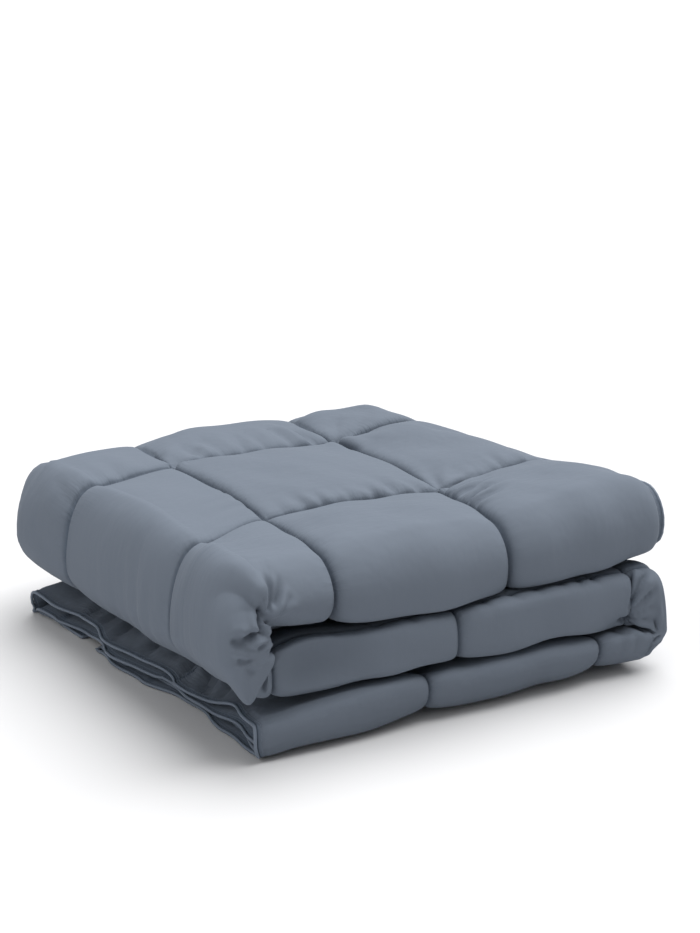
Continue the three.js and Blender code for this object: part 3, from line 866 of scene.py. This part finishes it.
# %% Table of creases
# What the values of each kind of row are
CREASE_COLUMNS = {
    "row": (
        "kind", "across", "along", "to_across", "to_along", "count",
        "direction", "turn", "length", "width", "depth",
    ),
    "fan": ("kind", "across", "along", "count", "direction", "turn", "length", "width", "depth"),
    "line": ("kind", "across", "along", "to_across", "to_along", "width", "depth"),
}
CREASES = (
    # top: behind the second sewn line, and behind the first
    ("row", 5.62, 1.455, 6.40, 1.455, 13, -90, 20, 0.18, 0.028, 0.0042),
    ("row", 5.62, 0.615, 6.40, 0.615, 9, -90, 26, 0.26, 0.034, 0.0052),
    ("row", 6.62, 1.455, 7.20, 1.455, 6, -80, 24, 0.18, 0.030, 0.0030),
    # top: along the long sewn line towards the front, and spraying from its crossing
    ("row", 6.485, 1.50, 6.485, 1.98, 8, -18, 24, 0.30, 0.028, 0.0062),
    ("fan", 6.49, 1.45, 6, -28, 70, 0.32, 0.028, 0.0058),
    ("fan", 5.54, 0.61, 4, -42, 62, 0.36, 0.038, 0.0044),
    ("fan", 6.49, 0.61, 3, -18, 66, 0.42, 0.050, 0.0050),
    # rolled fold: faint ones beside its sewn lines and low on its face
    ("row", 5.50, 1.05, 5.50, 1.40, 5, 188, 14, 0.30, 0.030, 0.0012),
    ("row", 5.42, 0.61, 4.80, 0.61, 7, -80, 20, 0.26, 0.036, 0.0024),
    ("row", 4.76, 0.84, 4.76, 1.26, 4, 6, 14, 0.28, 0.030, 0.0024),
    # front end of the rolled fold: a gather round its inner corner
    ("fan", 5.15, 2.31, 4, -38, 50, 0.17, 0.024, 0.0048),
    ("fan", 5.13, 2.33, 4, 205, 66, 0.26, 0.036, 0.0085),
    ("fan", 4.66, 2.40, 3, 240, 70, 0.22, 0.036, 0.0060),
    ("line", 4.945, 2.245, 4.955, 2.300, 0.016, 0.0090),
    ("line", 4.955, 2.290, 5.000, 2.345, 0.015, 0.0125),
    ("line", 4.990, 2.345, 5.105, 2.315, 0.015, 0.0130),
    ("line", 5.080, 2.325, 5.160, 2.250, 0.013, 0.0080),
    ("line", 4.90, 2.27, 4.88, 2.325, 0.014, 0.0045),
    ("line", 4.92, 2.335, 4.97, 2.37, 0.014, 0.0050),
    ("line", 4.85, 2.30, 4.78, 2.31, 0.014, 0.0035),
    ("line", 5.16, 2.31, 5.19, 2.21, 0.012, 0.0040),
    ("line", 5.18, 2.32, 5.25, 2.22, 0.012, 0.0038),
    ("line", 5.21, 2.33, 5.28, 2.27, 0.012, 0.0030),
    # middle section's front: streaks beside the hollow, and puckers under the top section
    ("row", 4.46, 2.50, 4.10, 2.55, 4, -60, 30, 0.24, 0.050, 0.0022),
    ("row", 3.48, 2.50, 2.72, 2.50, 6, -90, 34, 0.17, 0.026, 0.0026),
    ("row", 4.16, 2.50, 3.70, 2.50, 4, -90, 34, 0.15, 0.026, 0.0018),
    # small fold: creases drawn together at the left
    ("line", 2.665, 2.300, 2.590, 2.440, 0.014, 0.0070),
    ("line", 2.655, 2.290, 2.520, 2.430, 0.014, 0.0100),
    ("line", 2.650, 2.285, 2.480, 2.375, 0.014, 0.0120),
    ("line", 2.645, 2.275, 2.440, 2.345, 0.014, 0.0120),
    ("line", 2.640, 2.265, 2.370, 2.320, 0.014, 0.0100),
    ("line", 2.700, 2.280, 2.520, 2.235, 0.018, 0.0080),
    ("line", 2.200, 2.290, 2.300, 2.310, 0.014, 0.0050),
    ("line", 2.190, 2.300, 2.160, 2.370, 0.014, 0.0050),
    ("line", 1.970, 2.230, 1.985, 2.340, 0.022, 0.0020),
    ("line", 2.040, 2.230, 2.070, 2.320, 0.020, 0.0022),
    # bottom section's front, beside the small fold
    ("row", 1.95, 2.13, 2.12, 2.13, 3, 84, 20, 0.16, 0.034, 0.0030),
    # strip of the bottom section between the rolled fold and its hem
    ("row", 0.28, 0.50, 0.28, 2.05, 11, 180, 40, 0.26, 0.040, 0.0050),
    ("line", 0.04, 1.62, 0.34, 1.50, 0.028, 0.0110),
    ("line", 0.04, 1.74, 0.32, 1.65, 0.026, 0.0090),
    ("line", 0.04, 1.42, 0.32, 1.34, 0.026, 0.0080),
    ("line", 0.04, 1.18, 0.32, 1.08, 0.026, 0.0070),
    ("line", 0.04, 0.98, 0.32, 0.86, 0.028, 0.0090),
    ("line", 0.04, 0.80, 0.32, 0.72, 0.026, 0.0090),
    ("line", 0.04, 0.60, 0.32, 0.55, 0.026, 0.0070),
    # top: a valley along the long sewn line from its dimple
    ("line", 6.48, 0.60, 6.47, 0.80, 0.030, 0.0080),
)
print("rows of creases", len(CREASES))


# %% Strokes of the creases
# A stroke is full from its start to this share of its length, and then fades away
LINE_FADE = 0.7
SCATTERED_FADE = 0.25
# How far a line bends aside, as a share of its length
LINE_BEND = 0.1


def uneven(k):
    """The same uneven numbers on each run, from 0 to 1."""
    return (math.sin(12.9898 * k + 4.1) * 43758.5453) % 1.0


def line_stroke(item):
    a, b = item["across"], item["along"]
    run_a, run_b = item["to_across"] - a, item["to_along"] - b
    angle, length = math.atan2(run_b, run_a), math.hypot(run_a, run_b)
    return a, b, angle, length, LINE_BEND, item["width"], item["depth"], LINE_FADE


def scattered_stroke(item, number, k):
    """One crease of a row or of a fan, with its own place, direction, length, bend and depth."""
    mix = (k + 0.5 + 0.9 * (uneven(7 * number + 3 * k) - 0.5)) / item["count"]
    size = 0.3 + 1.3 * uneven(11 * number + 5 * k + 1) ** 1.5
    a, b = item["across"], item["along"]
    if item["kind"] == "row":
        a = lerp(a, item["to_across"], mix)
        b = lerp(b, item["to_along"], mix)
        angle = item["direction"] + item["turn"] * (uneven(13 * number + k) - 0.5)
    else:
        angle = item["direction"] + item["turn"] * (mix - 0.5)
    length = item["length"] * (0.7 + 0.6 * uneven(17 * number + 2 * k + 5))
    bend = 0.5 * (uneven(19 * number + k + 3) - 0.5)
    return a, b, math.radians(angle), length, bend, item["width"], item["depth"] * size, SCATTERED_FADE


STROKES = []
for number, row in enumerate(CREASES):
    item = dict(zip(CREASE_COLUMNS[row[0]], row))
    if item["kind"] == "line":
        STROKES.append(line_stroke(item))
    else:
        STROKES += [scattered_stroke(item, number, k) for k in range(item["count"])]
print("crease strokes", len(STROKES))


# %% Height of the creases
# How far past a stroke the cover moves, in boxes, and over what share of its length it starts
STROKE_MARGIN = 0.15
STROKE_START = 0.12
# Shares of its width: at its start, and gained up to its end
START_WIDTH = 0.7
WIDENING = 0.8
# How steep its valley is, where its ridges lie, in widths, and their share of its depth
VALLEY_STEEPNESS = 1.3
RIDGE_PLACE = 1.8
RIDGE_SHARE = 0.5


def valley_and_ridges(x):
    """How deep a crease is, x widths beside its line: a valley with a ridge on each side."""
    right, left = (RIDGE_SHARE * np.exp(-((x + way * RIDGE_PLACE) ** 2)) for way in (-1, 1))
    return np.exp(-VALLEY_STEEPNESS * np.abs(x)) - right - left


def crease_height(u, v):
    """How far the creases lift the cover at places across and along, in metres."""
    height = np.zeros_like(u)
    a, b = u / BOX, v / BOX
    for start_a, start_b, angle, length, bend, width, depth, fade in STROKES:
        margin = length + STROKE_MARGIN
        near = (np.abs(a - start_a) < margin) & (np.abs(b - start_b) < margin)
        da, db = a[near] - start_a, b[near] - start_b
        t = (da * math.cos(angle) + db * math.sin(angle)) / length
        n = -da * math.sin(angle) + db * math.cos(angle) - bend * length * t * t
        spread = width * (START_WIDTH + WIDENING * np.clip(t, 0, 1))
        rise = smoothstep(t, -STROKE_START, STROKE_START) * (1 - smoothstep(t, fade, 1.0))
        height[near] -= depth * rise * valley_and_ridges(n / spread)
    return height


creases = crease_height(u, v)
print("deepest crease", round(float(-creases.min()), 4), "m")

# %% Swells of the fill
# Soft swells of the fill: wave lengths across and along, where they start, and half their height
SWELLS = (
    (0.150, 0.310, 0.0, 0.0013),
    (-0.240, 0.120, 1.1, 0.0012),
    (0.095, -0.170, 2.3, 0.0008),
)
# How far the waves wander, and how often across and along
SWELL_WANDER = (1.3, 9, 7)


def soft_height(u, v):
    """The fill lies a little unevenly, so the cover swells and sinks between its sewn lines."""
    height = np.zeros_like(u)
    most, often_u, often_v = SWELL_WANDER
    wander = most * np.sin(often_u * u - often_v * v)
    for across, along, phase, size in SWELLS:
        height += size * np.sin(2 * math.pi * (u / across + v / along) + phase + wander)
    return height * np.sqrt(loft_at(u, v))


height = (creases + soft_height(u, v)) * (side > 0)
folded += values_of(quilt.data.vertices, "normal") * height[:, None]
folded[:, 2] = np.maximum(folded[:, 2], 0)
place_points(quilt, folded)
print("creases and swells from", height.min().round(4), "to", height.max().round(4), "m")

# %% [markdown]
# ## Piping
# The edge is bound with piping: a thin cord in a strip of the same cloth, sewn in all the way
# round, 4.6 mm thick. A curve with a round bevel could make it. Here a flat grid is rolled into
# a tube along the hem, so that the same functions fold both, and they stay together.

# %% The hem's path on the flat sheet
PIPING_SIDES = 8
PIPING_STEP = 0.0065
CORNER_STEPS = 4


def unit(vectors):
    return vectors / np.maximum(np.linalg.norm(vectors, axis=1), 1e-9)[:, None]


def hem_path():
    """Points round the hem of the flat duvet, and the flat way outwards at each."""
    corners = ((0, 0), (WIDTH, 0), (WIDTH, LENGTH), (0, LENGTH))
    points, ways = [], []
    for number, start in enumerate(corners):
        end = corners[(number + 1) % 4]
        span = math.dist(start, end)
        count = math.ceil(span / PIPING_STEP)
        turn = math.radians(-90 + 90 * number)
        for k in range(1, count):
            points.append((lerp(start[0], end[0], k / count), lerp(start[1], end[1], k / count)))
            ways.append((math.cos(turn), math.sin(turn)))
        for k in range(CORNER_STEPS + 1):
            angle = turn + math.pi / 2 * k / CORNER_STEPS
            points.append(end)
            ways.append((math.cos(angle), math.sin(angle)))
    return np.array(points, float), np.array(ways)


points, ways = hem_path()
print("points round the hem", len(points))

# %% The cord's line and its two directions sideways
CORD_GAP = 0.0004
# The way outwards is measured from this far inside the hem
INSIDE_STEP = 0.004


def between_covers(places):
    """Places midway between the two covers."""
    outer, inner = (cover_place(places[:, 0], places[:, 1], s) for s in (1.0, -1.0))
    return (outer + inner) / 2


middle = between_covers(points)
outwards = unit(middle - between_covers(points - INSIDE_STEP * ways))
cord_line = middle + outwards * (PIPING_RADIUS + CORD_GAP)
cord_line[:, 2] = np.maximum(cord_line[:, 2], PIPING_RADIUS)
run = unit(np.roll(cord_line, -1, axis=0) - np.roll(cord_line, 1, axis=0))
outwards = unit(outwards - run * (outwards * run).sum(1)[:, None])
upwards = np.cross(run, outwards)
print("piping length", round(float(np.linalg.norm(np.diff(cord_line, axis=0), axis=1).sum()), 3), "m")

# %% Piping
faces = {"size": 1, "x_subdivisions": len(points), "y_subdivisions": PIPING_SIDES}
piping = new_piece("duvet_piping", bpy.ops.mesh.primitive_grid_add, **faces)
flat_cord = values_of(piping.data.vertices, "co")
i = np.rint((flat_cord[:, 0] + 0.5) * len(points)).astype(int) % len(points)
turn = (flat_cord[:, 1] + 0.5) * 2 * math.pi
ring = np.cos(turn)[:, None] * outwards[i] + np.sin(turn)[:, None] * upwards[i]
place_points(piping, cord_line[i] + PIPING_RADIUS * ring)
bpy.ops.object.mode_set(mode="EDIT")
bpy.ops.mesh.select_all(action="SELECT")
bpy.ops.mesh.remove_doubles(threshold=1e-5)
bpy.ops.mesh.normals_make_consistent(inside=False)
bpy.ops.object.mode_set(mode="OBJECT")
bpy.ops.object.shade_smooth()
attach(piping, "root")
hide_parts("piping")
print("piping faces", len(piping.data.polygons))

# %% [markdown]
# ## Sewing
# The boxes and the piping are sewn with a lockstitch, which shows as a row of short threads.
# One long curve could be the thread, but half of it is hidden in the cloth. So each stitch is a
# small raised block, made once and repeated. Real ones are about 3 mm long and 0.3 mm thick.
# These are a little longer, thicker and further apart, or they would not show.

# %% Places of the stitches
STITCH_PITCH = 0.0055
STITCH_SIZE = np.array([0.0036, 0.0008, 0.0006])
STITCH_LIFT = 0.0002
# How far from the hem the row beside the piping is sewn
HEM_ROW = 0.0055
# Steps on the cloth over which its way out, and the way along a seam, are measured
OUT_STEP = 0.0015
WAY_STEP = 0.001


def creased_place(u, v):
    """Places on the outer cover with the creases, and the way out of it."""
    steps = ((OUT_STEP, 0), (-OUT_STEP, 0), (0, OUT_STEP), (0, -OUT_STEP))
    ahead = [cover_place(u + a, v + b) for a, b in steps]
    out = unit(np.cross(ahead[0] - ahead[1], ahead[2] - ahead[3]))
    return cover_place(u, v) + out * crease_height(u, v)[:, None], out


def stitch_rows():
    """Places of the stitches on the flat duvet and the direction of each."""
    rows = [(place, None) for place in SEAMS_ACROSS[1:-1]]
    rows += [(None, place) for place in SEAMS_ALONG[1:-1]]
    rows += [(HEM_ROW, None), (WIDTH - HEM_ROW, None), (None, HEM_ROW), (None, LENGTH - HEM_ROW)]
    us, vs, ways = [], [], []
    for across, along in rows:
        span = WIDTH if across is None else LENGTH
        line = np.arange(HEM_ROW, span - HEM_ROW, STITCH_PITCH)
        us.append(line if across is None else np.full(line.shape, across))
        vs.append(np.full(line.shape, along) if across is None else line)
        ways.append(np.tile([1.0, 0.0] if across is None else [0.0, 1.0], (len(line), 1)))
    return np.concatenate(us), np.concatenate(vs), np.concatenate(ways)


us, vs, ways = stitch_rows()
spots, out = creased_place(us, vs)
forward = cover_place(us + WAY_STEP * ways[:, 0], vs + WAY_STEP * ways[:, 1])
backward = cover_place(us - WAY_STEP * ways[:, 0], vs - WAY_STEP * ways[:, 1])
along = unit(forward - backward)
aside = np.cross(out, along)
print("stitches", len(us))

# %% Stitches
stitches = new_piece("duvet_stitches", bpy.ops.mesh.primitive_cube_add, size=1)
rows = stitches.modifiers.new("rows", "ARRAY")
rows.count = len(us)
rows.use_relative_offset = False
rows.use_constant_offset = True
rows.constant_offset_displace = (2, 0, 0)
bpy.ops.object.modifier_apply(modifier="rows")
blocks = values_of(stitches.data.vertices, "co")
number = np.rint(blocks[:, 0] / 2).astype(int)
blocks[:, 0] -= 2 * number
local = blocks * STITCH_SIZE
place_points(stitches, spots[number] + local[:, :1] * along[number] + local[:, 1:2] * aside[number]
             + (local[:, 2:] + STITCH_LIFT) * out[number])
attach(stitches, "root")
print("stitch faces", len(stitches.data.polygons))

# %% [markdown]
# ## Materials
# The cover is microfibre: a close plain weave of very fine polyester yarn, dyed, and brushed
# until it is soft and matt. The piping is the same cloth drawn tight over a cord, and the thread
# is spun polyester. What shows is how the cloth lies: slack between its seams, gathered beside
# them, and finely crinkled. All that could be modelled, but it would take millions of faces. So
# it is bump, in patterns that are laid out in metres on the flat duvet and go round every fold.

# %% Colours, shaders and nodes
def linear(hex_colour):
    """An sRGB hex colour as the linear values that light is worked out in."""
    parts = [int(hex_colour[k:k + 2], 16) / 255 for k in (1, 3, 5)]
    return tuple(p / 12.92 if p <= 0.04045 else ((p + 0.055) / 1.055) ** 2.4 for p in parts) + (1,)


def new_material(piece, name, values):
    """A new material on a piece, with values set in its shader: its node tree and shader."""
    material = bpy.data.materials.new(name)
    material.use_nodes = True
    piece.data.materials.append(material)
    shader = material.node_tree.nodes["Principled BSDF"]
    for socket, value in values.items():
        shader.inputs[socket].default_value = value
    return material.node_tree, shader


def add_node(tree, kind, output, inputs=(), **settings):
    """The output of a new node, with its settings, and its inputs set to values or linked."""
    node = tree.nodes.new(kind)
    for name, value in settings.items():
        setattr(node, name, value)
    for name, value in dict(inputs).items():
        if isinstance(value, bpy.types.NodeSocket):
            tree.links.new(value, node.inputs[name])
        else:
            node.inputs[name].default_value = value
    return node.outputs[output]


print("slate in linear values", [round(part, 3) for part in linear("#68707b")])

# %% Distances kept on the quilt's points
# How far from a sewn line the cloth is painted darker, as painted shade for the shadow in its valley,
# and how far its gathers reach, in metres
PAINTED_SHADE_REACH = 0.0035
GATHER_REACH = 0.013


def beside(places, seams, reach):
    """1 on a sewn line, and fading away beside it."""
    return np.exp(-seam_distance(places, seams) / reach)


# seam is the mask of the painted shade along the sewn lines
on_points = {
    "seam": np.maximum(beside(u, SEAMS_ACROSS, PAINTED_SHADE_REACH), beside(v, SEAMS_ALONG, PAINTED_SHADE_REACH)),
    "across": beside(u, SEAMS_ACROSS, GATHER_REACH),
    "along": beside(v, SEAMS_ALONG, GATHER_REACH),
    "from_hem": np.minimum.reduce([u, WIDTH - u, v, LENGTH - v]),
}
for name, values in on_points.items():
    attribute = quilt.data.attributes.new(name, "FLOAT", "POINT")
    attribute.data.foreach_set("value", values.astype(np.float32))
    print("points keep", name, "up to", round(float(values.max()), 3))

# %% Brushed microfibre
# Its cut fibre ends scatter the light, so there is no shine, and a faint sheen at a low angle.
# The IOR stays at 1.5, which suits polyester, and the low specular level is for the brushing.
tree, shader = new_material(quilt, "slate_microfibre", {
    "Roughness": 0.8,
    "Specular IOR Level": 0.08,
    "Sheen Weight": 0.03,
    "Sheen Roughness": 0.35,
})
kept = {name: add_node(tree, "ShaderNodeAttribute", "Fac", attribute_name=name) for name in on_points}
# Along the sewn lines the colour is painted darker: painted shade for the shadow in their valleys
painted_seam_shade = {"Factor": kept["seam"], "A": linear("#68707b"), "B": linear("#505a67")}
colour = add_node(tree, "ShaderNodeMix", "Result", painted_seam_shade, data_type="RGBA")
tree.links.new(colour, shader.inputs["Base Color"])
print("cover material", quilt.data.materials[0].name)

# %% Patterns of the cover
# The yarns are thinner than 0.1 mm, too fine to show at any useful distance, so no weave is
# drawn. Gathers are about 3 mm wide, like the stitches, and are drawn 5 mm wide to show.
# Each pattern has the sizes of its spots on the flat duvet in millimetres, and its detail.
PATTERNS = (
    ("slack", 71, 45, 3),
    ("crinkle", 22, 16.7, 2),
    ("patches", 110, 110, 1),
    ("across", 38, 5.25, 3),
    ("along", 5.25, 38, 3),
)
place = add_node(tree, "ShaderNodeUVMap", "UV", uv_map="cloth")
patterns = {}
for name, across_mm, along_mm, detail in PATTERNS:
    often = (round(1000 / across_mm), round(1000 / along_mm), 1)
    spots = add_node(tree, "ShaderNodeMapping", "Vector", {"Vector": place, "Scale": often})
    noise = {"Vector": spots, "Scale": 1.0, "Detail": detail, "Roughness": 0.55}
    patterns[name] = add_node(tree, "ShaderNodeTexNoise", "Fac", noise)
    print("pattern", name, "repeats", often[:2], "times in a metre")

# %% Gathers beside the seams
# Some rise above the cover and some sink below it. They fade away from their sewn line, and are
# stronger in some patches than in others.
MATHS = ("ShaderNodeMath", "Value")
gathers = []
for name in ("across", "along"):
    about_zero = add_node(tree, *MATHS, {0: patterns[name], 1: 0.5}, operation="SUBTRACT")
    gathers.append(add_node(tree, *MATHS, {0: about_zero, 1: kept[name]}, operation="MULTIPLY"))
both = add_node(tree, *MATHS, {0: gathers[0], 1: gathers[1]}, operation="ADD")
gathered = add_node(tree, *MATHS, {0: both, 1: patterns["patches"]}, operation="MULTIPLY")
print("gathers in", len(gathers), "directions")

# %% Relief of the cover
# Sewing in the piping presses shallow rows into the edge: how far apart, and up to how far in
ROW_PITCH = 0.0042
ROWS_END = 0.0063
turns = add_node(tree, *MATHS, {0: kept["from_hem"], 1: 2 * math.pi / ROW_PITCH}, operation="MULTIPLY")
row = add_node(tree, *MATHS, {0: turns}, operation="SINE")
at_edge = add_node(tree, *MATHS, {0: kept["from_hem"], 1: ROWS_END}, operation="LESS_THAN")
edge_rows = add_node(tree, *MATHS, {0: row, 1: at_edge}, operation="MULTIPLY")
# Each pattern and how high it stands in metres, laid on the one before
RELIEF = (
    (patterns["slack"], 0.0042),
    (gathered, 0.0060),
    (patterns["crinkle"], 0.0005),
    (edge_rows, 0.00015),
)
below = {}
for pattern, stands in RELIEF:
    bump = {"Height": pattern, "Distance": stands, "Strength": 1.0, **below}
    below = {"Normal": add_node(tree, "ShaderNodeBump", "Normal", bump)}
tree.links.new(below["Normal"], shader.inputs["Normal"])
print("bumps laid on each other", len(RELIEF))

# %% Cloth over a cord
# Drawn tight, the same cloth is smoother and catches more light, with fine cross wrinkles. They
# are about a millimetre apart on a real cord, and drawn coarser here so that they show.
WRINKLE_MM = 2.38
cord_look = {"Base Color": linear("#6a7482"), "Roughness": 0.5, "Specular IOR Level": 0.35}
cord_tree, cord_shader = new_material(piping, "slate_piping", cord_look)
cord_place = add_node(cord_tree, "ShaderNodeTexCoord", "Object")
wrinkles = {"Vector": cord_place, "Scale": round(1000 / WRINKLE_MM), "Detail": 3.0}
height = add_node(cord_tree, "ShaderNodeTexNoise", "Fac", wrinkles)
bump = {"Height": height, "Distance": 0.0004, "Strength": 0.7}
wrinkled = add_node(cord_tree, "ShaderNodeBump", "Normal", bump)
cord_tree.links.new(wrinkled, cord_shader.inputs["Normal"])
print("wrinkles of the cord", wrinkles["Scale"], "in a metre")

# %% Spun thread
# Polyester sewing thread, spun from short fibres: a soft low shine, and a little lighter than
# the shadow that it lies in. Its twist is about 0.5 mm, too fine to show, and is left out.
new_material(stitches, "slate_thread", {"Base Color": linear("#5f6876"), "Roughness": 0.6})
print("materials", [material.name for material in bpy.data.materials])

# %% [markdown]
# ## Floor and light
# The duvet lies on a plain white surface with no horizon, in soft light from overhead. That room
# could be built with walls and lamps, but a large plane, a sky that is brighter above, and two
# suns with a wide angle give the same light with few values. The stronger one comes from the
# right and from behind, and the weaker one is low at the left.

# %% Floor
# Matt white background paper: uncoated and rough, so it shows soft shadows and no reflection
floor = new_piece("studio_floor", bpy.ops.mesh.primitive_plane_add, size=40, location=(0, 0, -0.0005))
new_material(floor, "studio_white", {"Base Color": linear("#d0d0d1"), "Roughness": 0.9})
print("floor material", floor.data.materials[0].name)

# %% Sky
# The room's own light, near the floor and overhead
SKY_LOW = 0.10
SKY_HIGH = 0.66
world = bpy.data.worlds.new("studio")
bpy.context.scene.world = world
world.use_nodes = True
sky_tree = world.node_tree
view = add_node(sky_tree, "ShaderNodeTexCoord", "Generated")
upward = add_node(sky_tree, "ShaderNodeSeparateXYZ", "Z", {"Vector": view})
levels = {"Value": upward, "To Min": SKY_LOW, "To Max": SKY_HIGH}
sky = add_node(sky_tree, "ShaderNodeMapRange", "Result", levels)
background = sky_tree.nodes["Background"]
sky_tree.links.new(sky, background.inputs["Strength"])
background.inputs["Color"].default_value = linear("#ffffff")
print("sky from", SKY_LOW, "to", SKY_HIGH)


# %% Suns
def sun(name, towards, energy, spread):
    """A soft distant light that shines in one direction. spread is its angle in degrees."""
    bpy.ops.object.light_add(type="SUN", rotation=Vector(towards).to_track_quat("-Z", "Y").to_euler())
    light = bpy.context.object
    light.name = name
    light.data.energy = energy
    light.data.angle = math.radians(spread)


sun("soft_key", (-0.42, -0.17, -0.9), 4.2, 65)
sun("low_fill", (0.95, 0.00, -0.30), 0.90, 80)
bpy.context.scene.view_settings.view_transform = "Standard"
